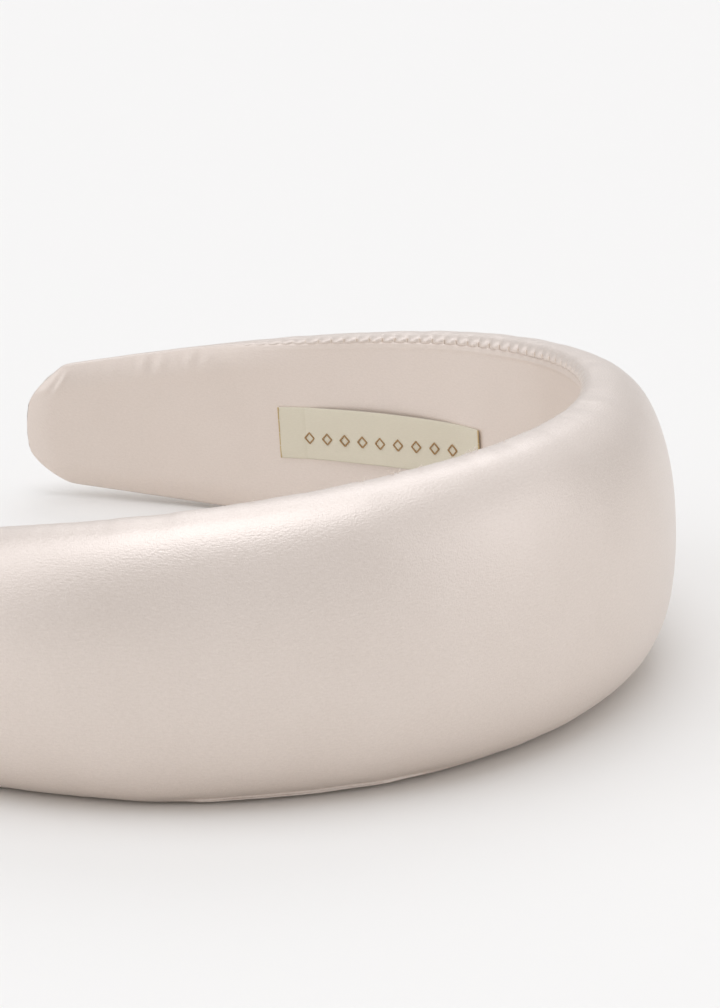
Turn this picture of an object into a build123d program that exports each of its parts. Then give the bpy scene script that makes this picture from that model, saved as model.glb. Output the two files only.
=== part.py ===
from build123d import *
import os
from math import atan, atan2, cos, degrees, pi, radians, sin

# A padded satin headband, lying on its edge. A springy moulded strip is bent to the head. Foam is
# glued to its outer face, satin is pulled over both and turned on to the head side, and a lining
# is sewn over the turned hems. The band is drawn upright first: its crown on +X, its two arms
# running back on +Y and -Y, its width along Z. At the end it is laid on its lower edges.

# ---- driving sizes, mm and degrees ---------------------------------------------------------

# the curve of the head face, seen from above
crown_radius = 67.0       # the arc over the top of the head
side_radius = 186.0       # the flatter arc of each arm
crown_half_angle = 80.0   # where the crown's arc runs into the arm's
half_length = 182.0       # from the middle of the crown to a tip, along the head face

# the width, and how it narrows towards the tips
crown_width = 48.0
tip_width = 22.0
width_taper = 2.05        # 1 would be straight; more keeps the crown wide for longer
tip_corner = 7.5          # radius of a tip's corners

# the layers, from the head outwards
lining_thickness = 0.5
cover_thickness = 0.6
film_thickness = 0.1      # each glue film
core_thickness = 1.6
crown_pad = 10.85         # foam at the middle of the crown
tip_pad = 0.9             # foam at the tips
pad_taper = 3.3           # how long the pad stays thick
seat = 0.02               # gap between layers that lie on each other
pad_gap = 0.15            # from the foam to the satin over it

# the domed outer face: 2 and 2 would be half an ellipse, more is squarer
dome_side_power = 2.25
dome_top_power = 3.1

# what is set back from the rim
edge_room = 1.6           # from the cover's inside to the core's edge
seam_setback = 1.5        # from the rim to the lining's edge
hem_width = 9.0           # from the rim to the turned hem's raw edge
hem_gap = 0.4             # between a hem's raw edge and the glue on each side of it
film_room = 0.45          # from the core's edge to the edge of each glue film

# the thread
thread_radius = 0.17
stitch_length = 1.3
stitch_pitch = 2.9
stitch_end_room = 4.0     # from the start of a tip's corner to the last stitch

# the label, on the +Y arm
label_start = 82.0        # from the middle of the crown
label_length = 46.5
label_width = 10.0
label_thickness = 0.35
label_gap = 0.05
motif_count = 9
motif_length = 2.6        # along the band
motif_height = 3.4
motif_end_room = 5.5
motif_thickness = 0.12
motif_gap = 0.03
tack_count = 4
tack_length = 1.5
tack_end_room = 1.2

# the patch that its own weight presses flat where it lies
rest_flat = 0.35

# how finely the curves are drawn
steps = 8                 # sections from the crown to a tip
dome_points = 11
flat_spread = 0.1         # how far a corner's arc runs out past the rim of a flat layer
dome_spread = 0.35        # and of a domed one

# ---- heights above the head face, outwards -------------------------------------------------

hem_face = lining_thickness + seat
hem_back = hem_face + cover_thickness
core_face = hem_back + film_thickness + 2 * seat
core_back = core_face + core_thickness
foam_face = core_back + film_thickness + 2 * seat
cover_stack = foam_face + pad_gap + cover_thickness
core_setback = cover_thickness + edge_room
hem_setback = hem_width + hem_gap
film_setback = core_setback + film_room
above = cover_stack + crown_pad + crown_width  # well clear of the whole dome


def heading(s):
    """The angle of the outward direction at arc length s, from +X."""
    joint = radians(crown_half_angle)
    crown_arc = crown_radius * joint
    run = abs(s)
    angle = run / crown_radius if run <= crown_arc else joint + (run - crown_arc) / side_radius
    return angle if s >= 0 else -angle


def at(s, height=0.0):
    """The point in plan at arc length s, at a height above the head face."""
    joint = radians(crown_half_angle)
    angle = heading(s)
    side = 1 if s >= 0 else -1
    if abs(angle) <= joint:
        radius, shift = crown_radius, 0
    else:
        radius, shift = side_radius, crown_radius - side_radius
    x = shift * cos(joint) + (radius + height) * cos(angle)
    y = side * shift * sin(joint) + (radius + height) * sin(angle)
    return (x, y)


def station(s):
    """The plane across the band at arc length s: x points outwards and y points up."""
    angle = heading(s)
    outward, backward = (cos(angle), sin(angle), 0), (sin(angle), -cos(angle), 0)
    return Plane(origin=(*at(s), 0), x_dir=outward, z_dir=backward)


def rim(s):
    """Half the band's width at arc length s, before a tip's corners are taken off."""
    share = (abs(s) / half_length) ** width_taper
    return (crown_width - (crown_width - tip_width) * share) / 2


def pad_height(s):
    """Thickness of the foam at the middle of the width."""
    share = (abs(s) / half_length) ** pad_taper
    return crown_pad - (crown_pad - tip_pad) * share


def dome_section(s, setback):
    """The dome across the band at s, set back from the rim and the top, from the head face up."""
    width = rim(s) - setback
    height = cover_stack + pad_height(s) - setback
    angles = [radians(180 * i / (dome_points - 1) - 90) for i in range(dome_points)]
    points = [(height * cos(a) ** (2 / dome_top_power),
               width * abs(sin(a)) ** (2 / dome_side_power) * (1 if a >= 0 else -1))
              for a in angles[1:-1]]
    points = [(0, -width), *points, (0, width)]
    return station(s) * make_face(Spline(*points) + Line(points[-1], points[0]))


def dome(setback, floor):
    """The solid between the dome and a height above the head face, tip to tip."""
    end = half_length - setback
    whole = loft([dome_section(end * i / steps, setback) for i in range(-steps, steps + 1)])
    kept = whole & ribbon(floor, above, -half_length - tip_corner, half_length + tip_corner)
    return kept - corner_cutters(setback, dome_spread)


def ribbon(inner, outer, start, end):
    """The upright strip between two heights above the head face, from one arc length to another."""
    joint = crown_radius * radians(crown_half_angle)
    bends = [s for s in (-joint, joint) if start < s < end]
    stops = [start, *bends, end]

    def edge(height):
        return [ThreePointArc(at(a, height), at((a + b) / 2, height), at(b, height))
                for a, b in zip(stops, stops[1:])]

    lines = [*edge(inner), *edge(outer)]
    lines += [Line(at(s, inner), at(s, outer)) for s in (start, end)]
    return extrude(make_face(Curve(lines)), amount=crown_width, both=True)


def side_view(low, high, height, end):
    """The prism along Y whose outline, seen from the side, runs from low(s) to high(s)."""
    spots = [end * i / steps for i in range(steps + 1)]
    nose = at(0, height)[0] + tip_corner
    tail = at(end, height)[0] - tip_corner

    def edge(z):
        points = [(at(s, height)[0], z(s)) for s in spots]
        slope = (points[-1][1] - points[-2][1]) / (points[-1][0] - points[-2][0])
        last = (tail, points[-1][1] + slope * (tail - points[-1][0]))
        return [(nose, points[0][1])], points, [last]

    def run(z):
        first, points, last = edge(z)
        return [Line(first[0], points[0]), Spline(*points), Line(points[-1], last[0])]

    lines = run(low) + run(high)
    lines += [Line((nose, low(0)), (nose, high(0))), Line(edge(low)[2][0], edge(high)[2][0])]
    return extrude(Plane.XZ * make_face(Curve(lines)), amount=2 * half_length, both=True)


def strip(inner, outer, low, high, setback):
    """A flat strip between two heights and two edges, set back from both tips."""
    end = half_length - setback
    return ribbon(inner, outer, -end, end) & side_view(low, high, (inner + outer) / 2, end)


def corner_cutters(setback, spread):
    """What lies outside the rounded corners of both tips."""
    end = half_length - setback
    radius = tip_corner - setback
    slope = (rim(end - radius) - rim(end)) / radius
    lean = atan(slope)
    middle = rim(end) - setback + spread + slope * radius - radius / cos(lean)
    turn = pi / 2 - lean

    def on_arc(angle):
        return (radius * cos(angle) - radius, middle + radius * sin(angle))

    high = middle + 2 * radius
    last = on_arc(turn)
    outside = make_face(Curve([
        ThreePointArc(on_arc(0), on_arc(turn / 2), last),
        Polyline(last, (last[0], high), (radius, high), (radius, middle), on_arc(0)),
    ]))
    cutters = []
    for side in (1, -1):
        across = station(side * end)
        along = Plane(origin=across.origin, x_dir=across.z_dir * -side, z_dir=across.x_dir)
        for corner in (outside, mirror(outside, Plane.XZ)):
            cutters.append(extrude(along * corner, amount=cover_stack + crown_pad, both=True))
    return cutters


def outline(setback, inner, outer):
    """The band's own outline between two heights, set back from the rim, with its tips' corners."""
    flat = bed(setback, inner, outer)
    return flat - corner_cutters(setback, flat_spread)


def bed(setback, inner, outer):
    """A flat strip with square ends, set back from the rim and the tips."""
    return strip(inner, outer, lambda s: setback - rim(s), lambda s: rim(s) - setback, setback)


def hem_film(side):
    """The glue film between one turned hem and the core."""
    def inner_edge(s):
        return side * (rim(s) - hem_width + hem_gap)

    def rim_edge(s):
        return side * (rim(s) - film_setback)

    edges = (inner_edge, rim_edge) if side > 0 else (rim_edge, inner_edge)
    return strip(hem_back + seat, core_face - seat, *edges, hem_setback)


def thread_bar(s, height, z, length):
    """One short length of thread lying across the band."""
    return station(s) * Pos(height, z, 0) * Rot(X=90) * Cylinder(thread_radius, length)


def seam(side):
    """The stitches along one rim, each over the lining's edge."""
    reach = half_length - tip_corner - stitch_end_room
    count = int(2 * reach / stitch_pitch)
    first = -stitch_pitch * (count - 1) / 2
    over = -(thread_radius + seat)
    return [thread_bar(s, over, side * (rim(s) - seam_setback), stitch_length)
            for s in (first + stitch_pitch * i for i in range(count))]


# ---- the pieces, drawn upright ---------------------------------------------------------------

envelope = dome(0, hem_face)
hem_opening = bed(hem_width, hem_face - seat, core_face)
satin_cover = envelope - dome(cover_thickness, hem_back) - hem_opening

foam_pad = dome(cover_thickness + pad_gap, foam_face)
core_band = outline(core_setback, core_face, core_back)
foam_adhesive = outline(film_setback, core_back + seat, foam_face - seat)
hem_adhesive = [hem_film(side) for side in (-1, 1)]
lining_adhesive = bed(hem_setback, hem_face, core_face - seat)
lining = outline(seam_setback, 0, lining_thickness)
upper_seam_stitches = seam(1)
lower_seam_stitches = seam(-1)

label_back = -label_gap
label_face = label_back - label_thickness
tape = ribbon(label_face, label_back, label_start, label_start + label_length)
label = tape & Box(4 * half_length, 4 * half_length, label_width)

motif_run = label_length - 2 * motif_end_room
label_motif = []
for i in range(motif_count):
    s = label_start + motif_end_room + motif_run * i / (motif_count - 1)
    diamond = Polygon((-motif_length / 2, 0), (0, -motif_height / 2), (motif_length / 2, 0),
                      (0, motif_height / 2))
    face = station(s) * Pos(label_face - motif_gap, 0, 0) * Rot(Y=-90) * diamond
    label_motif.append(extrude(face, motif_thickness))

tack_over = label_face - seat - thread_radius
tack_step = label_width / tack_count
label_stitches = []
for s in (label_start + tack_end_room, label_start + label_length - tack_end_room):
    for i in range(tack_count):
        z = tack_step * (i + 0.5) - label_width / 2
        label_stitches.append(thread_bar(s, tack_over, z, tack_length))


# ---- laid on its lower edges -------------------------------------------------------------------

def rest_lean(centre_x):
    """The band rocks on its lower edges until the stretch under its weight is level."""
    near, far = 0.0, half_length
    while far - near > 0.01:
        middle = (near + far) / 2
        if station(middle).origin.X > centre_x:
            near = middle
        else:
            far = middle
    rise = rim(near - 1) - rim(near + 1)
    travel = station(near - 1).origin.X - station(near + 1).origin.X
    return degrees(atan2(rise, travel))


leaned = Rot(Y=-rest_lean(envelope.center().X))
outer_box = (leaned * envelope).bounding_box()
laid = Pos(-outer_box.center().X, 0, -outer_box.min.Z - rest_flat) * leaned


def laid_down(piece):
    return laid * piece


table = Pos(0, 0, -crown_width / 2) * Box(4 * half_length, 4 * half_length, crown_width)

os.makedirs("parts", exist_ok=True)
pieces = {
    "core_band": core_band,
    "foam_pad": foam_pad,
    "foam_adhesive": foam_adhesive,
    "satin_cover": satin_cover,
    "hem_adhesive": hem_adhesive,
    "lining_adhesive": lining_adhesive,
    "lining": lining,
    "upper_seam_stitches": upper_seam_stitches,
    "lower_seam_stitches": lower_seam_stitches,
    "label": label,
    "label_motif": label_motif,
    "label_stitches": label_stitches,
}
for name, piece in pieces.items():
    solids = piece if isinstance(piece, list) else [piece]
    placed = [laid_down(solid) for solid in solids]
    if name == "satin_cover":
        placed = [placed[0] - table]
    export_step(Compound(children=placed), f"parts/{name}.step")
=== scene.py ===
# %% [markdown]
# # A padded satin headband
# A springy strip is bent to the head, foam is glued along its outer face, and satin is pulled over
# both. The satin turns round the strip's edges to the head side, where a satin lining covers its
# hems and small stitches join the two along the rim. This notebook builds what the eye sees: the
# padded cover, the roll of satin along the rim, the lining, its woven label and the thread. The
# design model holds the sizes, so every surface here is worked out in the same curve and frame.

# %% Load the frame
import math

import bpy
import numpy as np
from mathutils import Matrix, Vector


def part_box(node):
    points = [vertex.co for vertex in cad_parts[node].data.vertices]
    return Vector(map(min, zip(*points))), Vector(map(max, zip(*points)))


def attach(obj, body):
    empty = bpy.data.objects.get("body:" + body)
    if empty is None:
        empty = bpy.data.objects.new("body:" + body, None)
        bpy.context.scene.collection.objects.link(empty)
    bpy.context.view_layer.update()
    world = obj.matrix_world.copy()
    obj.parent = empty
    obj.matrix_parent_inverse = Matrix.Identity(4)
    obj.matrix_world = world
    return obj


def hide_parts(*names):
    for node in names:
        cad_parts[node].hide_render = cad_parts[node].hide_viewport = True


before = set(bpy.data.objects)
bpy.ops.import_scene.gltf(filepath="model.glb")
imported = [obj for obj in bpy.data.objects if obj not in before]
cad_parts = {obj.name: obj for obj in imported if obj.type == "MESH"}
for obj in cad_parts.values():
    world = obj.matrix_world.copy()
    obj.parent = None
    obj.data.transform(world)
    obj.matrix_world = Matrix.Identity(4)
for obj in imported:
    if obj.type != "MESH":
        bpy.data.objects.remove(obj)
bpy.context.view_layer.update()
MM = 0.001
print("nodes:", ", ".join(sorted(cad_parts)))

# %% [markdown]
# ## The band's own coordinates
# A headband is easiest to think of unrolled: s runs along it from the middle of the crown to a
# tip, z runs across its width, and n stands out from the head. All three are in millimetres.
# Modelling it flat and bending it with a modifier would stretch the fabric unevenly, so instead one
# function turns (s, z, n) into a place in the frame: two arcs that meet smoothly, then a small
# lean, because the band lies on its lower edges and rocks until its weight is over them.

# %% The curve of the band
crown_radius, side_radius = 67.0, 186.0
crown_half_angle = math.radians(80.0)
half_length = 182.0
crown_width, tip_width, width_taper = 48.0, 22.0, 2.05
tip_corner = 7.5
crown_height, tip_height, pad_taper = 14.6, 4.65, 3.3
rest_lean = math.radians(3.65)
crown_run = crown_radius * crown_half_angle
print(f"the crown's arc runs {crown_run:.1f} mm each way, of {half_length:.0f} to a tip")


def heading(s):
    """Angle of the outward direction: run over radius, first on the crown's arc, then the arm's."""
    run = np.abs(s)
    on_arm = crown_half_angle + (run - crown_run) / side_radius
    return np.sign(s) * np.where(run <= crown_run, run / crown_radius, on_arm)


def unplaced(s, z, n):
    """Arc centre plus (radius + n) along the heading, then turned by the lean about the Y axis."""
    angle = heading(s)
    on_arm = np.abs(s) > crown_run
    shift = np.where(on_arm, crown_radius - side_radius, 0.0)
    radius = np.where(on_arm, side_radius, crown_radius) + n
    x = shift * math.cos(crown_half_angle) + radius * np.cos(angle)
    y = np.sign(s) * shift * math.sin(crown_half_angle) + radius * np.sin(angle)
    leaned_x = x * math.cos(rest_lean) - z * math.sin(rest_lean)
    leaned_z = x * math.sin(rest_lean) + z * math.cos(rest_lean)
    return np.stack(np.broadcast_arrays(leaned_x, y, leaned_z), axis=-1).copy()


def rim(s):
    """Half the width: it narrows from crown to tip with a power of the share of the length."""
    share = (np.abs(s) / half_length) ** width_taper
    return (crown_width - (crown_width - tip_width) * share) / 2


def ease(low, high, value):
    """0 below low and 1 above high, with a smooth step (3t2 - 2t3) between."""
    t = np.clip((value - low) / (high - low), 0.0, 1.0)
    return t * t * (3 - 2 * t)


def outline(s, setback):
    """Half the width of an outline set back from the rim, less the round of the tip's corner."""
    corner = tip_corner - setback
    into = np.clip(np.abs(s) - (half_length - tip_corner), 0.0, corner)
    return rim(s) - setback - (corner - np.sqrt(corner**2 - into**2))


# %% Place the band where the design model has it
seam_setback, lining_thickness = 1.5, 0.5
spread = np.linspace(seam_setback - half_length, half_length - seam_setback, 2001)
edge_points = np.concatenate([unplaced(spread, side * outline(spread, seam_setback), n)
                              for side in (-1, 1) for n in (0.0, lining_thickness)])
lining_low, lining_high = (np.array(corner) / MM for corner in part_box("lining"))
offset = (lining_low + lining_high - edge_points.min(axis=0) - edge_points.max(axis=0)) / 2
print("band moved by", offset.round(3), "mm; fit error",
      (lining_high - lining_low - np.ptp(edge_points, axis=0)).round(3))


droop_depth, droop_from, droop_to = 0.8, 85.0, 170.0


def droop(s):
    """The arms hang a little towards their tips, by a smooth step along each arm."""
    return droop_depth * ease(droop_from, droop_to, np.abs(s))


def placed(s, z, n):
    """The place in the frame, in metres, of a point of the band."""
    return (unplaced(s, z - droop(s), n) + offset) * MM


# %% [markdown]
# ## Surfaces from grids
# Every piece is a grid of points: rows along the band and columns across or round it. One helper
# joins neighbours into quads, closes a ring where the columns meet again, and caps open ends, so
# that each piece is one closed skin with its faces outwards. The grid's own coordinates, in
# millimetres along the cloth, are kept as a UV map, because a weave follows the cloth.

# %% The grid helper
def grid_faces(rows, columns, ring=False):
    """Quads between neighbours; a ring joins the last column to the first as well."""
    last_column = columns if ring else columns - 1
    grid = np.meshgrid(np.arange(rows - 1), np.arange(last_column), indexing="ij")
    i, j = (part.ravel() for part in grid)
    right = (j + 1) % columns
    return np.stack([i * columns + j, (i + 1) * columns + j, (i + 1) * columns + right,
                     i * columns + right], axis=1)


def cloth_lengths(points):
    """Distance in millimetres along the rows and columns of a grid, summed point by point."""
    along = np.linalg.norm(np.diff(points, axis=0), axis=2).mean(axis=1)
    across = np.linalg.norm(np.diff(points, axis=1), axis=2)
    u = np.concatenate([[0.0], np.cumsum(along)]) / MM
    v = np.concatenate([np.zeros((len(points), 1)), np.cumsum(across, axis=1)], axis=1) / MM
    return np.stack(np.broadcast_arrays(u[:, None], v), axis=-1)


print("3 by 4 points make", len(grid_faces(3, 4)), "quads, or", len(grid_faces(3, 4, True)), "as a ring")


# %% From a grid to an object
def volume(mesh):
    """Signed volume: a sixth of the sum of a . (b x c) over the triangles."""
    mesh.calc_loop_triangles()
    corners = np.zeros(len(mesh.loop_triangles) * 3, dtype=np.int32)
    mesh.loop_triangles.foreach_get("vertices", corners)
    points = np.zeros(len(mesh.vertices) * 3)
    mesh.vertices.foreach_get("co", points)
    a, b, c = points.reshape(-1, 3)[corners].reshape(-1, 3, 3).transpose(1, 0, 2)
    return (a * np.cross(b, c)).sum() / 6


def face_outwards(mesh):
    """A closed skin with a negative volume is inside out, so its faces are turned."""
    if volume(mesh) < 0:
        mesh.flip_normals()


def show(name, mesh):
    """Smooth, outward-facing and linked to the scene at the origin, under one plain name."""
    mesh.shade_smooth()
    face_outwards(mesh)
    piece = bpy.data.objects.new(name, mesh)
    bpy.context.scene.collection.objects.link(piece)
    print(f"{name}: {len(mesh.polygons)} faces")
    return piece


def make_piece(name, points, ring=False):
    """A piece from a grid of points, with its cloth UV map. A ring's two open ends are capped."""
    rows, columns = points.shape[:2]
    faces = grid_faces(rows, columns, ring).tolist()
    if ring:
        faces += [list(range(columns)), list(range(rows * columns - 1, (rows - 1) * columns - 1, -1))]
    mesh = bpy.data.meshes.new(name)
    mesh.from_pydata(points.reshape(-1, 3).tolist(), [], faces)
    corners = np.zeros(len(mesh.loops), dtype=np.int32)
    mesh.loops.foreach_get("vertex_index", corners)
    uv = mesh.uv_layers.new(name="cloth")
    uv.data.foreach_set("uv", cloth_lengths(points).reshape(-1, 2)[corners].astype(np.float32).ravel())
    return show(name, mesh)


# %% [markdown]
# ## Stitches set the rhythm of the rim
# Thread joins the cover to the lining a little in from the rim. Each stitch pinches the satin, and
# between two stitches it puffs up, so the rim looks like a row of small pillows. At the crown the
# seam lies two millimetres in from the rim. Towards the tips it moves out to the very edge, and
# the stitches sink out of sight. These few functions give that rhythm to every piece that needs it.

# %% The rhythm of the seam
stitch_pitch = 2.9
hidden_from, hidden_to = 112.0, 146.0
pinch_power = 3.5
inset_crown, inset_arm, inset_tip = 2.0, 1.1, 0.55
print(f"stitches every {stitch_pitch} mm, hidden from {hidden_from:.0f} to {hidden_to:.0f} mm out")


def stitched(s):
    """1 where the stitches show and 0 near the tips, where they lie under the edge."""
    return 1 - ease(hidden_from, hidden_to, np.abs(s))


def pinch(s):
    """1 at a stitch and 0 between two: a high power of a cosine of the run over the pitch."""
    return np.abs(np.cos(np.pi * s / stitch_pitch)) ** pinch_power


def seam_inset(s):
    """How far the seam lies in from the rim: most at the crown, less on the arms and tips."""
    on_arm = ease(60, 120, np.abs(s))
    return inset_crown + (inset_arm - inset_crown) * on_arm + (inset_tip - inset_arm) * (1 - stitched(s))


def waves(s, terms):
    """A sum of sines along the band, each given by its length, its height and its start."""
    return sum(height * np.sin(2 * np.pi * s / length + start) for length, height, start in terms)


# %% [markdown]
# ## The padded cover
# The foam under the satin is a soft dome: across the band it is squarer than half an ellipse, and
# it sinks to almost nothing at the tips. A voxel remesh with a pressure simulation would make a
# good cushion, but its voxels would erase this seam and blunt the taper. So the section is drawn
# as a closed line: the dome, the round of the rim, the seam, then the hem that is glued under the
# strip. Shallow swells, puckers at the stitches and one long crease where the pad meets the table
# are added along it, because foam and hand-pulled satin are never quite even.

# %% The line of the section
side_power, top_power, arm_top_power = 2.25, 2.5, 2.05
tip_round, edge_round = 5.0, 0.5
widest_crown, widest_tip = 2.3, 1.6
level_crown, level_tip = -0.32, 1.08


def rounded_end(s, run):
    """1 along the band, falling to 0 at the very tip as a quarter circle of the given run."""
    into = np.clip((np.abs(s) - (half_length - run)) / run, 0.0, 1.0)
    return np.sqrt(1.0001 - into**2)


def widest(s):
    """Height over the head face at which the section is widest."""
    return widest_crown + (widest_tip - widest_crown) * (1 - stitched(s))


def pad_top(s):
    """Height of the dome over the head face, which falls from crown to tip and rolls off there."""
    share = (np.abs(s) / half_length) ** pad_taper
    top = crown_height - (crown_height - tip_height) * share
    return widest(s) + (top - widest(s)) * rounded_end(s, tip_round)


def squareness(s):
    """Power of the dome's height: its shoulders are squarer at the crown and rounder on the arms."""
    return top_power + (arm_top_power - top_power) * ease(15, 80, np.abs(s))


def seam_level(s):
    """Height of the rim's head side: just proud of the lining, and lifted at the soft tips."""
    level = level_crown + (level_tip - level_crown) * (1 - stitched(s))
    return widest(s) - (widest(s) - level) * rounded_end(s, edge_round)


print("dome over the head face, crown to tip, mm:", pad_top(np.array([0.0, 60.0, 120.0, 175.0])).round(2))


# %% Steps across the dome
low_band, high_band = 9.0, 5.0      # how far up from each rim the steps stay fine


def dome_angles(coarse, fine):
    """Angles across the dome, close together low on the lower side, where the pad is creased."""
    angle = np.linspace(-np.pi / 2, np.pi / 2, 3001)
    z = crown_width / 2 * np.sign(angle) * np.abs(np.sin(angle)) ** (2 / side_power)
    n = (crown_height - widest(0.0)) * np.cos(angle).clip(0) ** (2 / top_power)
    step = np.hypot(np.diff(z), np.diff(n))
    run = np.concatenate([[0.0], np.cumsum(step)])
    high_start = run[-1] - high_band
    places = np.concatenate([np.arange(0, low_band, fine), np.arange(low_band, high_start, coarse),
                             np.linspace(high_start, run[-1], int(high_band / fine / 1.4) + 1)])
    return np.interp(places, run, angle)


dome_steps = dome_angles(1.3, 0.42)
print(len(dome_steps), "points across the dome")


# %% The swells, the puckers and the crease
# Waves are given as their length, height and start in radians, and swells have a slant as well.
swell_waves = [(47.0, 0.13, 1.1, 0.4), (29.0, 0.07, -2.1, 1.7), (17.0, 0.035, 3.4, 2.9)]
near_waves = [(stitch_pitch, 0.010, 0.0), (4.3, 0.010, 1.0), (6.7, 0.014, 2.2)]
far_waves = [(11.3, 0.030, 0.6), (8.1, 0.022, 4.0)]
near_reach, far_reach = 2.2, 6.0
lip_push, lip_sink, lip_width = 1.45, 0.12, 0.6
groove_depth, groove_over_lip, groove_width = 0.42, 1.35, 0.45
bag_depth, bag_at, bag_length, bag_height, bag_spread = 0.7, -76, 8, 5.5, 3.0


def swell(s, across):
    """Slow waves of about a tenth of a millimetre, slanting across the dome."""
    return sum(height * np.sin(2 * np.pi * s / length + slant * across + start)
               for length, height, slant, start in swell_waves)


def puckers(s, away):
    """Short waves that start at the stitches and die away over a few millimetres."""
    return (waves(s, near_waves) * np.exp(-away / near_reach)
            + waves(s, far_waves) * np.exp(-away / far_reach))


def bell(away, width):
    """A bell curve: e to the power of minus the square of the distance over the width."""
    return np.exp(-((away / width) ** 2))


def crease(s, n):
    """Where the pad lies on the table its satin folds: a slim lip is pushed out, under a groove."""
    along = ease(-78, -64, s) * (1 - ease(-50, -20, s))
    lip_at = 5.1 + 1.9 * ease(-66, 0, s) + 0.12 * np.sin(s / 7.0) + 0.08 * np.sin(s / 3.1 + 1.0)
    lip = bell(n - lip_at, lip_width)
    groove = bell(n - lip_at - groove_over_lip, groove_width)
    return along * lip_push * lip, along * (-lip_sink * lip - groove_depth * groove)


def bag(s, n):
    """The pad sags outwards in one low place, as a bell curve along and up the dome."""
    return bag_depth * bell(s - bag_at, bag_length) * bell(n - bag_height, bag_spread)


print("tallest swell, mm:", swell(np.linspace(-100, 100, 999), 0.0).max().round(2))


# %% Table and tips
table_softness = 0.25
arch_height, arch_middle, arch_reach, arch_setback = 1.5, -1.5, 7.5, 0.4


def rest_on_table(points):
    """Lifts what would sink below z = 0: half of z plus the root of z squared plus a softness."""
    z = points[..., 2] / MM
    points[..., 2] = MM * (z + np.sqrt(z * z + table_softness**2)) / 2
    return points


def blunt(s, z):
    """The tip's end isn't straight: it stands out as a shallow arch, most a little below middle."""
    arch = arch_height * (1 - ((z - arch_middle) / arch_reach) ** 2) - arch_setback
    return s + np.sign(s) * ease(half_length - 10, half_length, np.abs(s)) * arch


tip_line = blunt(half_length, np.array([-9.0, arch_middle, 6.0]))
print("the tip's arch stands out, mm:", (tip_line - half_length).round(2))


# %% The dome, the rim and the hem of the line
tip_calm = 8.0
crease_reach = 10.0
hem_width, hem_face, core_face, core_back, core_inset = 9.0, 0.56, 1.2, 2.92, 1.5
tuck = 0.35                         # how far the satin tucks in behind the seam


def gathered(s):
    """How strongly the stitches pucker the satin: fully at the crown, still a little at the tips."""
    return 0.35 + stitched(s)


def calm(s):
    """0 at the very tips and 1 over the rest, so that the tips' skin stays smooth and closed."""
    return ease(0, tip_calm, half_length - np.abs(s))


def dome_part(s, angle):
    """The dome: side and height are powers of sine and cosine, with its swells and crease."""
    width, top, base = outline(s, 0.0), pad_top(s), widest(s)
    z = width * np.sign(angle) * np.abs(np.sin(angle)) ** (2 / side_power)
    n = base + (top - base) * np.cos(angle).clip(0) ** (2 / squareness(s))
    away = width - np.abs(z) + 0.6 * (n - base)
    lift = calm(s) * (swell(s, angle) * np.cos(angle) + puckers(s, away) * gathered(s))
    low = (angle < 0) * (n < crease_reach)
    push, out = crease(s, n)
    n = n + lift * np.cos(angle).clip(0) ** 0.5 + (bag(s, n) + push) * low
    return z + np.sign(angle) * (lift * np.abs(np.sin(angle)) + out * low), n


def rim_part(s, side, turns):
    """A quarter ellipse from the widest place to the seam, pinched in at every stitch."""
    width, inset, base, level = outline(s, 0.0), seam_inset(s), widest(s), seam_level(s)
    turn = np.linspace(0, 1, turns)[None, 1:] * np.pi / 2
    bite = stitched(s) * pinch(s) * np.sin(turn) ** 4
    lift = puckers(s, 0 * turn) * gathered(s) * np.cos(turn) * calm(s)
    z = width - inset + (inset + lift - 0.3 * bite) * np.cos(turn)
    n = base - (base - level) * np.sin(turn) + 0.5 * bite
    return side * z, n


def hem_part(s, side):
    """The satin tucks in at the seam, runs under the strip as its hem, and meets the foam."""
    width, inset, level = outline(s, 0.0), seam_inset(s), seam_level(s)
    hem_end = np.maximum(width - hem_width, 0.35 * width)
    tucked = np.minimum(width - inset, width - 1.6) - tuck
    core_edge, under_core = width - core_inset, core_face - 0.1
    near_tip = ease(half_length - 3.5, half_length - 0.7, np.abs(s))
    corners = [(width - inset - 0.3, level + tuck), (tucked, hem_face), (hem_end, hem_face),
               (hem_end, under_core), (core_edge, under_core), (core_edge, core_back)]
    z = np.concatenate([z for z, _ in corners], axis=1)
    n = np.concatenate([n + np.zeros_like(width) for _, n in corners], axis=1)
    return side * z, n + (widest(s) - n) * near_tip


print("the rim's line at the crown, z and n in mm:",
      [part.round(1).tolist() for part in rim_part(np.zeros((1, 1)), 1, 4)])


# %% Join the parts and make the cover
def cover_points(stations, angles, turns):
    """The closed line at each station, from the lower rim over the dome and round under the strip."""
    s = stations[:, None]
    dome_z, dome_n = dome_part(s, angles[None, :])
    up_z, up_n = rim_part(s, 1, turns)
    low_z, low_n = rim_part(s, -1, turns)
    hem_z, hem_n = hem_part(s, 1)
    under_z, under_n = hem_part(s, -1)
    z = np.concatenate([dome_z, up_z, hem_z, under_z[:, ::-1], low_z[:, ::-1]], axis=1)
    n = np.concatenate([dome_n, up_n, hem_n, under_n[:, ::-1], low_n[:, ::-1]], axis=1)
    return rest_on_table(placed(blunt(s, z), z, n))


def stations(fine, coarse, fine_end, end, corner):
    """Tip to tip: fine steps where stitches show, coarse ones on, then by angle at the corner."""
    straight = end - corner
    half = np.concatenate([np.arange(0, fine_end, fine), np.arange(fine_end, straight, coarse),
                           straight + corner * np.sin(np.radians(np.linspace(0, 90, 21)))])
    return np.concatenate([-half[:0:-1], half])


cover_stations = stations(stitch_pitch / 8, 0.8, hidden_to - 1.0, half_length - 0.05, tip_corner)
cover = make_piece("padded_satin_cover", cover_points(cover_stations, dome_steps, 11), ring=True)

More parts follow.
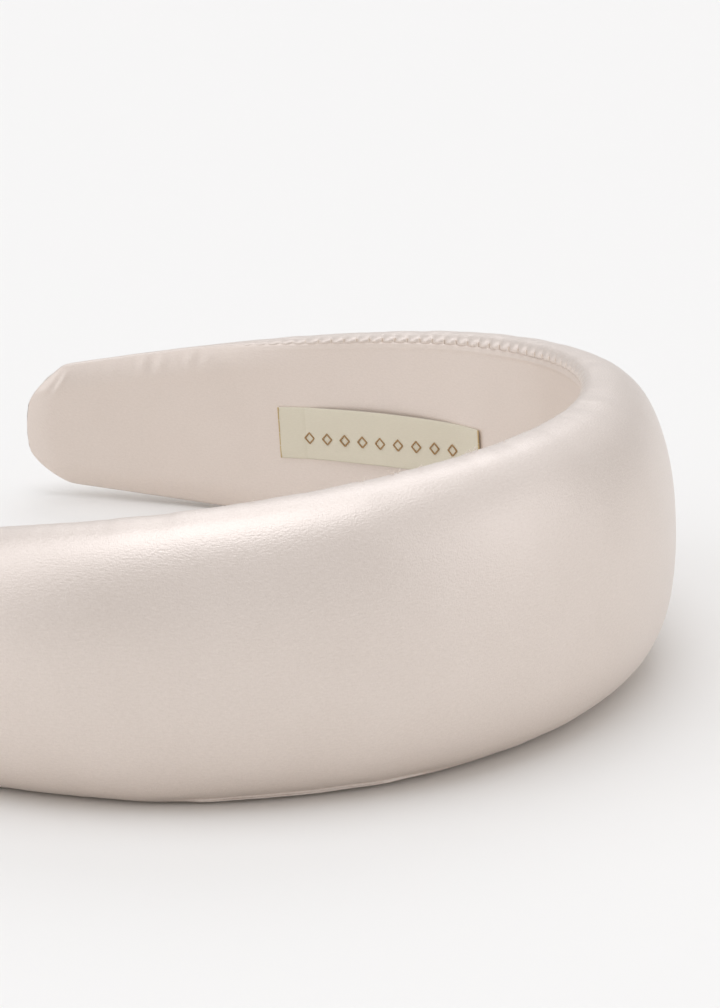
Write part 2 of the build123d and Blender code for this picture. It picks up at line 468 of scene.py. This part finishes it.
# %% [markdown]
# ## The lining
# The lining lies flat against the head, and its edges are folded under. At the crown the fold
# stops at the seam and shows as a fine ridge just inside it. At the tips the lining is pulled over
# a softer edge, so it bends away there over about five millimetres, with a few small wrinkles
# where the cloth was eased round the corner. It is a sheet, given its thickness by Solidify,
# which keeps it the size that it was cut.

# %% Wrinkles of the lining
# Each small wrinkle is a line across the cloth from start to end, with its width and its height.
small_wrinkles = [((173.6, 10.6), (177.2, 5.9), 0.6, 0.17), ((175.2, 10.0), (178.0, 5.5), 0.9, -0.15),
                  ((166.0, -9.6), (160.0, -11.2), 0.9, 0.08)]


def wrinkle(s, z, start, end, width, height):
    """A small ridge along a line from start to end: a bell curve of the distance from the line."""
    start, end = np.array(start), np.array(end)
    line = end - start
    t = np.clip(((s - start[0]) * line[0] + (z - start[1]) * line[1]) / (line @ line), 0, 1)
    far = np.hypot(s - start[0] - t * line[0], z - start[1] - t * line[1])
    return height * bell(far, width) * (0.35 + 0.65 * np.sin(np.pi * t))


def tip_wrinkles(s, z):
    """The wrinkles at the two tips, turned half round so that each tip has the same small folds."""
    side = np.where(s > 0, z, -z)
    return sum(wrinkle(np.abs(s), side, *each) for each in small_wrinkles)


def border_puckers(s, inside):
    """Upright puckers where the fading seam still gathers the soft border."""
    where = bell(np.abs(s) - 152, 10) * bell(inside - 1.9, 1.3)
    return where * waves(s, [(3.4, 0.06, 0.3), (5.1, 0.07, 1.9)])


print(len(small_wrinkles), "wrinkles at each tip, the highest",
      max(height for *_, height in small_wrinkles), "mm")

# %% The lining sheet
border_tip, border_crown = 5.0, 0.6
tip_depth, crown_depth = 1.25, 0.5
soft_overlap = 0.22
ridge_at, ridge_width, ridge_arm, ridge_crown = 1.25, 0.3, 0.05, 0.17
lining_shown = 0.25                 # thickness of the sheet that shows


def lining_points(stations, across):
    """Distance from the edge decides how far the sheet bends away from the head."""
    s = stations[:, None]
    tip = 1 - stitched(s)
    width = outline(s, 0.0) - seam_inset(s) + 0.1 + soft_overlap * tip
    v = np.linspace(-1, 1, across)[None, :]
    v = np.sin(v * np.pi / 2) * 0.6 + v * 0.4
    z = v * width
    inside = np.minimum(width - np.abs(z), stations[-1] - np.abs(s))
    crown_bend = crown_depth * np.clip(1 - inside / border_crown, 0, 1) ** 2
    tip_bend = tip_depth * np.clip(1 - inside / border_tip, 0, 1) ** 1.8
    ridge_height = ridge_arm + ridge_crown * (1 - ease(60, 100, np.abs(s)))
    ridge = bell(inside - ridge_at, ridge_width) * ridge_height
    gather = waves(s, [(stitch_pitch, 0.05, 0.0)]) * np.exp(-inside / 1.2)
    soft = 0.05 * np.sin(s / 9.0 + 1.3 * v) + 0.035 * np.sin(s / 4.1 - 2.2 * v + 1.0)
    n = (crown_bend - ridge - gather) * (1 - tip) + tip_bend * tip + soft
    n = n - 0.05 - 0.12 * tip - tip_wrinkles(s, z) - border_puckers(s, inside)
    return placed(blunt(s, z), z, n)


lining = make_piece("satin_lining", lining_points(
    stations(stitch_pitch / 4, 0.6, hidden_to, half_length - 0.25, tip_corner - 0.25), 91))


def face_the_head(piece):
    """An open sheet has no inside, so its faces are turned towards the middle of the band."""
    mesh = piece.data
    face = mesh.polygons[len(mesh.polygons) // 2]
    if Vector(face.normal).dot(-Vector(face.center)) < 0:
        mesh.flip_normals()


def thicken(piece, thickness):
    """Solidify away from the shown side, so that the shown side stays where it was worked out."""
    modifier = piece.modifiers.new("cloth_thickness", "SOLIDIFY")
    modifier.thickness = thickness
    modifier.offset = -1.0


face_the_head(lining)
thicken(lining, lining_shown * MM)

# %% [markdown]
# ## The woven label
# A stiff little tape is tacked to the lining at both ends. Its ends are folded under and lie flat,
# and between them it follows a flatter curve than the lining, so it stands away and throws a thin
# shadow. The pattern on it is a plain row of diamonds in old gold thread.

# %% The label sheet
label_start, label_length, label_width = 82.0, 46.5, 10.0
label_thickness = 0.3
label_fold, fold_step = 5.8, 0.07
label_seat, label_bow = 0.42, 0.93
corner_round = 0.5


def label_run(s):
    """Share of the label's length, 0 at its crown end and 1 at its tip end."""
    return np.clip((s - label_start) / label_length, 0, 1)


def label_lift(s):
    """Height of the label's face over the lining: flat on its folds and bowed between them."""
    t = np.clip((s - label_start - label_fold * 0.8) / (label_length - label_fold * 1.8), 0, 1)
    return label_seat + label_bow * np.sin(np.pi * t) ** 0.9


def label_shift(s):
    """It was tacked on by eye: it arches up in its middle and dips at its crown end."""
    t = label_run(s)
    return -0.3 + 0.2 * np.sin(np.pi * t) - 0.75 * (1 - t) ** 3


def label_points():
    """A strip of the band's curve, standing off towards the head, its edges barely curled."""
    s = np.linspace(label_start, label_start + label_length, 187)[:, None]
    v = np.linspace(-1, 1, 41)[None, :]
    arch = 1 + 0.045 * np.sin(np.pi * label_run(s)) * (v > 0)
    into_corner = np.clip(corner_round - (s - label_start), 0, corner_round - 0.001)
    round_off = corner_round - np.sqrt(corner_round**2 - into_corner**2)
    z = v * (label_width / 2 * arch - 1.2 * round_off) + label_shift(s)
    fold = fold_step * (ease(label_fold - 0.3, label_fold, s - label_start)
                        * ease(label_fold - 0.3, label_fold, label_start + label_length - s) - 1)
    curl = 0.14 * np.abs(v) ** 6
    n = -(label_lift(s) - curl - fold + 0.03 * np.sin(s / 3.1 + 2 * v))
    return placed(s, z, n)


label = make_piece("woven_label", label_points())
face_the_head(label)
thicken(label, label_thickness * MM)

# %% [markdown]
# ## Thread
# A stitch is a short piece of thread with rounded ends. A curve with a bevel could make each one,
# but there are hundreds. So one function lays any number of them as one mesh: it makes a small
# capsule once, and places copies by arrays. Each copy has only a few dozen faces.

# %% Laying threads
def thread_points(around=8):
    """Rings of a capsule of radius 1 and no length along its first axis: two half circles."""
    turn = np.radians([80, 50, 20])
    rings = np.array([(-math.sin(a), math.cos(a)) for a in turn])
    rings = np.concatenate([rings, rings[::-1] * (-1, 1)])
    angle = np.linspace(0, 2 * np.pi, around, endpoint=False)
    return np.stack([np.repeat(rings[:, :1], around, 1), rings[:, 1:] * np.cos(angle),
                     rings[:, 1:] * np.sin(angle)], axis=-1)


def lay_threads(name, centres, slants, radii, lengths):
    """Capsules at (s, z, n) centres; a slant is an angle in the cloth from across to along it."""
    unit = thread_points()
    rings, around = unit.shape[:2]
    radii = np.broadcast_to(radii, len(centres))[:, None, None]
    stretch = lengths[:, None, None] / 2 - radii
    long, side, out = (radii * unit[None, ..., k] for k in range(3))
    long = long + np.sign(long) * stretch
    turn = slants[:, None, None]
    s = centres[:, 0, None, None] + long * np.sin(turn) - side * np.cos(turn)
    z = centres[:, 1, None, None] + long * np.cos(turn) + side * np.sin(turn)
    n = centres[:, 2, None, None] + out
    points = placed(s, z, n).reshape(-1, 3)
    first = rings * around * np.arange(len(centres))[:, None]
    quads = (grid_faces(rings, around, ring=True).ravel() + first).reshape(-1, 4)
    near_end = np.arange(around) + first
    far_end = (rings * around - 1 - np.arange(around)) + first
    mesh = bpy.data.meshes.new(name)
    mesh.from_pydata(points.tolist(), [], quads.tolist() + near_end.tolist() + far_end.tolist())
    return show(name, mesh)


print("one thread is", thread_points().shape[0], "rings of", thread_points().shape[1], "points")

# %% The stitches of the seam
thread_radius, stitch_length, stitch_slant = 0.14, 0.9, 0.15
stitch_end_room = 4.0
sink_in, sink_out = 1.0, 1.5        # how far hidden stitches lie in from the seam, and out in the pad
stitch_reach = half_length - tip_corner - stitch_end_room
stitch_count = int(2 * stitch_reach / stitch_pitch)
stitch_s = (np.arange(stitch_count) - (stitch_count - 1) // 2) * stitch_pitch
# Loose fibres on the rim: where along it, their slant, and their size.
fibre_radius, fibre_length = 0.055, 1.5
fibre_spots = [(-35.2, 0.7, 0.7), (-36.6, -0.9, 0.9), (-36.2, 1.1, 0.6), (-41.0, 0.9, 0.6),
               (-42.0, -1.1, 0.7), (-31.4, 1.2, 0.6), (-20.6, -0.8, 0.8), (-21.2, 0.9, 0.9),
               (-21.9, 0.2, 0.6), (-22.6, 1.2, 0.8), (-14.2, 1.1, 0.5), (-58.0, 1.0, 0.5)]


def seam_threads(name, side, fibres=()):
    """One thread over the roll at each pinch, slanting a little, sunk where the seam is hidden."""
    sunk = 1 - stitched(stitch_s)
    z = side * (rim(stitch_s) - seam_inset(stitch_s) + 0.25 - sink_in * sunk)
    centres = np.stack([stitch_s, z, 0.1 + sink_out * sunk], 1)
    slants = np.full(stitch_count, side * stitch_slant)
    lengths, radii = np.full(stitch_count, stitch_length), np.full(stitch_count, thread_radius)
    if fibres:
        at, slant, size = np.array(fibres).T
        stray = np.stack([at, rim(at) + 0.45 * size, np.full(len(at), 2.2)], 1)
        centres, slants = np.concatenate([centres, stray]), np.concatenate([slants, slant])
        lengths = np.concatenate([lengths, fibre_length * size])
        radii = np.concatenate([radii, np.full(len(at), fibre_radius)])
    return lay_threads(name, centres, slants, radii, lengths)


upper_stitches = seam_threads("upper_seam_thread", 1, fibre_spots)
lower_stitches = seam_threads("lower_seam_thread", -1)

# %% The label's motif and tacks
motif_count, motif_end_room = 9, 6.7        # the room is from the label's end to a diamond's middle
motif_length, motif_height = 2.1, 2.1
motif_thread, motif_stand = 0.16, 0.05
motif_reach = label_length - 2 * motif_end_room


def motif_line(s):
    """The row of diamonds lies a little below the label's middle, and slants a little."""
    return -0.6 - 0.5 * label_run(s)


def diamond_threads():
    """Four threads round each diamond, each from the middle of one side, slanting along it."""
    first = label_start + (label_length - motif_reach) / 2
    middles = first + motif_reach * np.linspace(0, 1, motif_count)
    corner_s = np.array([1, 1, -1, -1]) * motif_length / 4
    corner_z = np.array([1, -1, -1, 1]) * motif_height / 4
    s = (middles[:, None] + corner_s).ravel()
    z = (motif_line(middles)[:, None] + corner_z).ravel()
    slant = np.tile(np.array([-1, 1, -1, 1]) * math.atan2(motif_length, motif_height), motif_count)
    length = math.hypot(motif_length, motif_height) / 2 + motif_thread
    return np.stack([s, z, -(label_lift(s) + motif_stand)], 1), slant, np.full(len(s), length)


motif_centres, motif_slants, motif_lengths = diamond_threads()
motif = lay_threads("label_diamonds", motif_centres, motif_slants, motif_thread, motif_lengths)

tack_rows, tack_radius, tack_length, tack_in = 4, 0.16, 2.5, 0.03
tack_s = np.repeat([label_start + tack_in, label_start + label_length - tack_in], tack_rows)
tack_z = (np.tile((np.arange(tack_rows) + 0.5) * label_width / tack_rows - label_width / 2, 2)
          + label_shift(tack_s))
tacks = lay_threads("label_tacks", np.stack([tack_s, tack_z, -(label_lift(tack_s) - 0.02)], 1),
                    np.zeros(len(tack_s)), tack_radius, np.full(len(tack_s), tack_length))

# %% [markdown]
# ## Hang the pieces on the frame
# Each piece rides on the root body, and the design parts that it stands for are hidden. The lining's
# cut area is worked out and printed. The strip and the glue are inside and stay as they are.

# %% Bind the pieces to the frame
pieces = [
    (cover, "cover_satin", ["satin_cover", "foam_pad"]),
    (lining, "lining_satin", ["lining"]),
    (label, "label_tape", ["label"]),
    (upper_stitches, "seam_thread", ["upper_seam_stitches"]),
    (lower_stitches, "seam_thread", ["lower_seam_stitches"]),
    (motif, "label_thread", ["label_motif"]),
    (tacks, "label_thread", ["label_stitches"]),
]
for piece, slot, nodes in pieces:
    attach(piece, "root")
    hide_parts(*nodes)

cut_s = np.linspace(-half_length, half_length, 2001)
cut_half = outline(cut_s, 0.0)
lining_area = float((cut_half[1:] + cut_half[:-1]).sum() * (cut_s[1] - cut_s[0])) * MM**2
print(f"the lining is cut from {lining_area * 1e4:.1f} square centimetres")

# %% [markdown]
# ## Shader maths in plain Python
# A node tree is easier to read as a formula. The class below wraps one output socket, and adding
# or multiplying two of them adds the Math node that does it.

# %% The socket class and the node method
class Value:
    """A socket of numbers. +, - and * each add a Math node, with a number on either side."""

    def __init__(self, finish, socket):
        self.finish, self.socket = finish, socket

    def maths(self, operation, *terms):
        return self.finish.node("ShaderNodeMath", {"operation": operation}, dict(enumerate(terms)))

    def __add__(self, other):
        return self.maths("ADD", self, other)

    def __mul__(self, other):
        return self.maths("MULTIPLY", self, other)

    def __sub__(self, other):
        return self.maths("SUBTRACT", self, other)

    def __rsub__(self, other):
        return self.maths("SUBTRACT", other, self)

    __radd__, __rmul__ = __add__, __mul__


class Finish:
    """One material: its Principled shader, and a method that adds any other node."""

    def __init__(self, name, **constants):
        self.material = bpy.data.materials.new(name)
        self.material.use_nodes = True
        self.tree = self.material.node_tree
        self.shader = self.tree.nodes["Principled BSDF"]
        for socket, value in constants.items():
            self.shader.inputs[socket.replace("_", " ")].default_value = value

    def put(self, socket, value):
        """A Value is linked to the socket, and anything else is set on it."""
        if isinstance(value, Value):
            self.tree.links.new(value.socket, socket)
        else:
            socket.default_value = value

    def node(self, kind, settings, inputs, output=0):
        """Any node: its settings are made first, then its sockets, and one output comes back."""
        made = self.tree.nodes.new(kind)
        for name, value in settings.items():
            setattr(made, name, value)
        for name, value in inputs.items():
            self.put(made.inputs[name], value)
        return Value(self, made.outputs[output])

    def cloth(self, along, across):
        """The cloth's own coordinates in millimetres, multiplied along and across."""
        uv = self.node("ShaderNodeUVMap", {"uv_map": "cloth"}, {})
        return self.node("ShaderNodeMapping", {}, {"Vector": uv, "Scale": (along, across, 1.0)})

    def place(self, scale):
        """Object coordinates times a scale, for what doesn't follow the cloth."""
        spot = self.node("ShaderNodeTexCoord", {}, {}, "Object")
        return self.node("ShaderNodeMapping", {}, {"Vector": spot, "Scale": (scale,) * 3})

    def noise(self, vector, detail=2.0):
        """Noise of about one spot to a unit of the vector."""
        return self.node("ShaderNodeTexNoise", {}, {"Vector": vector, "Scale": 1.0, "Detail": detail})

    def mix(self, share, low, high):
        """A colour between two others, low where the share is 0 and high where it is 1."""
        return self.node("ShaderNodeMix", {"data_type": "RGBA"}, {"Factor": share, 6: low, 7: high}, 2)

    def surface(self, colour=None, roughness=None, height=None, distance=0.0001, strength=1.0):
        """Links what changes over the surface: colour, roughness and a bump."""
        if colour is not None:
            self.put(self.shader.inputs["Base Color"], colour)
        if roughness is not None:
            self.put(self.shader.inputs["Roughness"], roughness)
        if height is not None:
            bump = self.node("ShaderNodeBump", {}, {"Height": height, "Distance": distance,
                                                    "Strength": strength})
            self.put(self.shader.inputs["Normal"], bump)
        print(f"{self.material.name}: {len(self.tree.nodes)} nodes")
        return self.material


def colour(red, green, blue):
    """An sRGB colour of 0 to 255 as the linear values that a shader takes."""
    share = np.array([red, green, blue]) / 255
    linear = np.where(share <= 0.04045, share / 12.92, ((share + 0.055) / 1.055) ** 2.4)
    return (*linear.tolist(), 1.0)


print("middle grey, linear:", round(colour(128, 128, 128)[0], 3))

# %% [markdown]
# ## The finishes
# Satin floats its shiny threads over several others, so it has a broad soft gloss and a very fine
# grain. A plain glossy shader looks like plastic, because its gloss is white over a strong matt
# colour. Here nearly half of the shader is metallic, which takes its colour from the thread, and
# darkens the cloth where it mirrors the dimmer parts of the room. The cover is the glossier face of
# the cloth and the lining the duller one. The grain runs with the cloth, so it reads its UV map.

# %% Satin
warp_grain, weft_grain = (1.3, 3.4), (4.2, 2.4)     # spots to a millimetre, along and across
cloud_grain = 70.0                                  # spots to a metre
grain_depth = 0.00009


def satin(name, shade, deep, gloss, metal, sheen, grain):
    """Blush satin: fine spots of the two sets of threads, a faint cloudiness, a broad gloss."""
    finish = Finish(name, Metallic=metal, Specular_IOR_Level=0.85, Sheen_Weight=sheen,
                    Sheen_Roughness=0.35)
    warp = finish.noise(finish.cloth(*warp_grain), 3.0)
    weft = finish.noise(finish.cloth(*weft_grain), 2.0)
    cloud = finish.noise(finish.place(cloud_grain), 2.0)
    grainy = warp * 0.55 + weft * 0.45
    tone = finish.mix(grainy * 1.9 + cloud * 0.5 - 0.7, deep, shade)
    rough = grainy * 0.25 + (gloss - 0.125)
    return finish.surface(tone, rough, grainy, grain_depth, grain)


cover_finish = satin("blush_satin", colour(234, 222, 213), colour(221, 208, 198),
                     0.40, 0.45, 0.15, 1.0)
lining_finish = satin("blush_lining_satin", colour(233, 220, 210), colour(223, 209, 198),
                      0.45, 0.36, 0.1, 0.5)

# %% [markdown]
# ## Tape and thread
# The label is a plain weave, ribs over ribs, so its bump is a product of two sines instead of a
# noise. A stitch is far too small to show its twist, and a fine noise is enough to break its gloss.

# %% Woven tape
def woven(name, shade, deep, pitch):
    """Plain weave: two sets of rounded threads, each a sine of the cloth's coordinate."""
    finish = Finish(name, Specular_IOR_Level=0.35, Sheen_Weight=0.2, Sheen_Roughness=0.5)
    turns = 2 * math.pi / pitch
    along = finish.node("ShaderNodeSeparateXYZ", {}, {0: finish.cloth(turns, turns)})
    across = Value(finish, along.socket.node.outputs[1])
    ribs = along.maths("SINE", along) * across.maths("SINE", across)
    worn = finish.noise(finish.cloth(1.2, 5.0), 2.0)
    tone = finish.mix(ribs * 0.18 + worn * 0.6 + 0.15, deep, shade)
    return finish.surface(tone, worn * 0.1 + 0.5, ribs, 0.00005, 0.5)


label_finish = woven("cream_woven_tape", colour(233, 225, 205), colour(219, 210, 188), 0.28)


# %% Thread
def thread(name, shade, deep):
    """Twisted thread: fine spots of light and shade, too small to be told apart."""
    finish = Finish(name, Roughness=0.55, Specular_IOR_Level=0.4, Sheen_Weight=0.2)
    ply = finish.noise(finish.place(5200.0), 1.0)
    return finish.surface(finish.mix(ply, deep, shade), None, ply, 0.00003, 0.4)


seam_finish = thread("blush_thread", colour(240, 228, 216), colour(224, 209, 194))
gold_finish = thread("old_gold_thread", colour(178, 142, 92), colour(146, 110, 64))
tack_finish = thread("straw_thread", colour(212, 188, 138), colour(186, 158, 106))

for piece, material in [(cover, cover_finish), (lining, lining_finish), (label, label_finish),
                        (upper_stitches, seam_finish), (lower_stitches, seam_finish),
                        (motif, gold_finish), (tacks, tack_finish)]:
    piece.data.materials.append(material)

# %% [markdown]
# ## Inside pieces
# The strip and the glue can't be seen, yet someone may take the cover off, so they get simple
# honest finishes on the design model's own meshes. The foam is part of the padded cover here.

# %% Finishes of the inside pieces
def plain(name, shade, deep, scale, roughness, depth):
    """A moulded or foamed stuff: one noise for its tone, its roughness and its bump."""
    finish = Finish(name, Specular_IOR_Level=0.4)
    speck = finish.noise(finish.place(scale), 3.0)
    return finish.surface(finish.mix(speck, deep, shade), speck * 0.1 + roughness, speck, depth, 0.5)


strip = plain("moulded_strip", colour(238, 236, 230), colour(228, 225, 218), 900.0, 0.45, 0.00004)
glue = plain("dried_glue", colour(232, 226, 206), colour(220, 212, 190), 300.0, 0.3, 0.0001)
for node, material in [("core_band", strip), ("foam_adhesive", glue), ("hem_adhesive", glue),
                       ("lining_adhesive", glue)]:
    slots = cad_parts[node].material_slots
    if slots:
        slots[0].material = material
    else:
        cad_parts[node].data.materials.append(material)

# %% [markdown]
# ## Stage, light and camera
# Gloss shows a surface only through what it mirrors, so satin needs lights that are wide. Area
# lamps close by would light the table unevenly. So these are suns, each spread over a wide disc:
# one overhead, one behind, and dimmer ones round the sides, in an even pale room. The table is a
# little warm and the light a little cool, which keeps the open table neutral and its shadows warm.
# The camera is a long lens a good half metre away, a little above the band.

# %% The table and the room
table_reach, table_drop = 6.0, 0.00002      # a hair under the band, so that no faces coincide
table_points = np.array([(-1, -1, 0), (1, -1, 0), (1, 1, 0), (-1, 1, 0)]) * table_reach
table_mesh = bpy.data.meshes.new("pale_table")
table_mesh.from_pydata((table_points - (0, 0, table_drop)).tolist(), [], [(0, 1, 2, 3)])
table = bpy.data.objects.new("pale_table", table_mesh)
bpy.context.scene.collection.objects.link(table)
table_finish = Finish("pale_table_top", Roughness=0.9, Specular_IOR_Level=0.1)
table_finish.put(table_finish.shader.inputs["Base Color"], (0.86, 0.84, 0.81, 1.0))
table.data.materials.append(table_finish.material)

scene = bpy.context.scene
world = bpy.data.worlds.new("pale_room")
world.use_nodes = True
room_strength, room_tint = 0.50, (1.0, 0.985, 0.965)
world.node_tree.nodes["Background"].inputs["Color"].default_value = (*room_tint, 1.0)
world.node_tree.nodes["Background"].inputs["Strength"].default_value = room_strength
scene.world = world
print("table", 2 * table_reach, "m across, room strength", room_strength)

# %% The lights
view_turn = math.radians(28.99)
high_light, side_light, low_light = (0.885, 0.925, 1.0), (0.90, 0.93, 1.0), (0.92, 0.94, 1.0)


def soft_sun(name, around, height, spread, strength, tint):
    """A soft light far off: spread is the angle that it fills, and around turns from the camera."""
    light = bpy.data.lights.new(name, "SUN")
    light.energy, light.color, light.angle = strength, tint, math.radians(spread)
    turn, rise = view_turn + math.radians(around), math.radians(height)
    towards = Vector((math.sin(turn) * math.cos(rise), -math.cos(turn) * math.cos(rise), math.sin(rise)))
    lamp = bpy.data.objects.new(name, light)
    lamp.rotation_mode = "QUATERNION"
    lamp.rotation_quaternion = towards.to_track_quat("Z", "Y")
    scene.collection.objects.link(lamp)


# Each lamp's name, its angle around and its height, its spread, its strength and its tint.
lamps = [
    ("top_light", 0, 88, 45, 0.86, high_light),
    ("back_light", 180, 45, 35, 0.38, high_light),
    ("back_right_light", 140, 45, 50, 0.22, high_light),
    ("top_left_light", -70, 60, 55, 0.42, high_light),
    ("left_light", -85, 30, 50, 0.40, side_light),
    ("low_left_light", -70, 12, 40, 0.18, low_light),
    ("right_light", 80, 30, 50, 0.18, side_light),
    ("low_right_light", 80, 12, 40, 0.27, low_light),
    ("front_light", 15, 16, 60, 0.16, low_light),
]
for lamp in lamps:
    soft_sun(*lamp)
print(len(lamps), "lamps")

# %% The camera
view_height = math.radians(17.07)
view_roll = -0.009
view_distance = 0.548
aim = Vector((0.0225, 0.01365, 0.0221))
back = Vector((math.sin(view_turn) * math.cos(view_height),
               -math.cos(view_turn) * math.cos(view_height), math.sin(view_height)))
level = Vector((math.cos(view_turn), math.sin(view_turn), 0.0))
upright = back.cross(level)
right = level * math.cos(view_roll) + upright * math.sin(view_roll)
up = upright * math.cos(view_roll) - level * math.sin(view_roll)
lens = bpy.data.cameras.new("long_lens")
lens.lens, lens.sensor_width = 115.2, 36.0
lens.shift_y = 0.0143
lens.clip_start, lens.clip_end = 0.01, 20.0
camera = bpy.data.objects.new("long_lens", lens)
camera.matrix_world = Matrix.Translation(aim + back * view_distance) @ Matrix(
    (right, up, back)).transposed().to_4x4()
scene.collection.objects.link(camera)
scene.camera = camera
scene.view_settings.view_transform = "Standard"
print("camera at", [round(part, 3) for part in camera.matrix_world.translation])
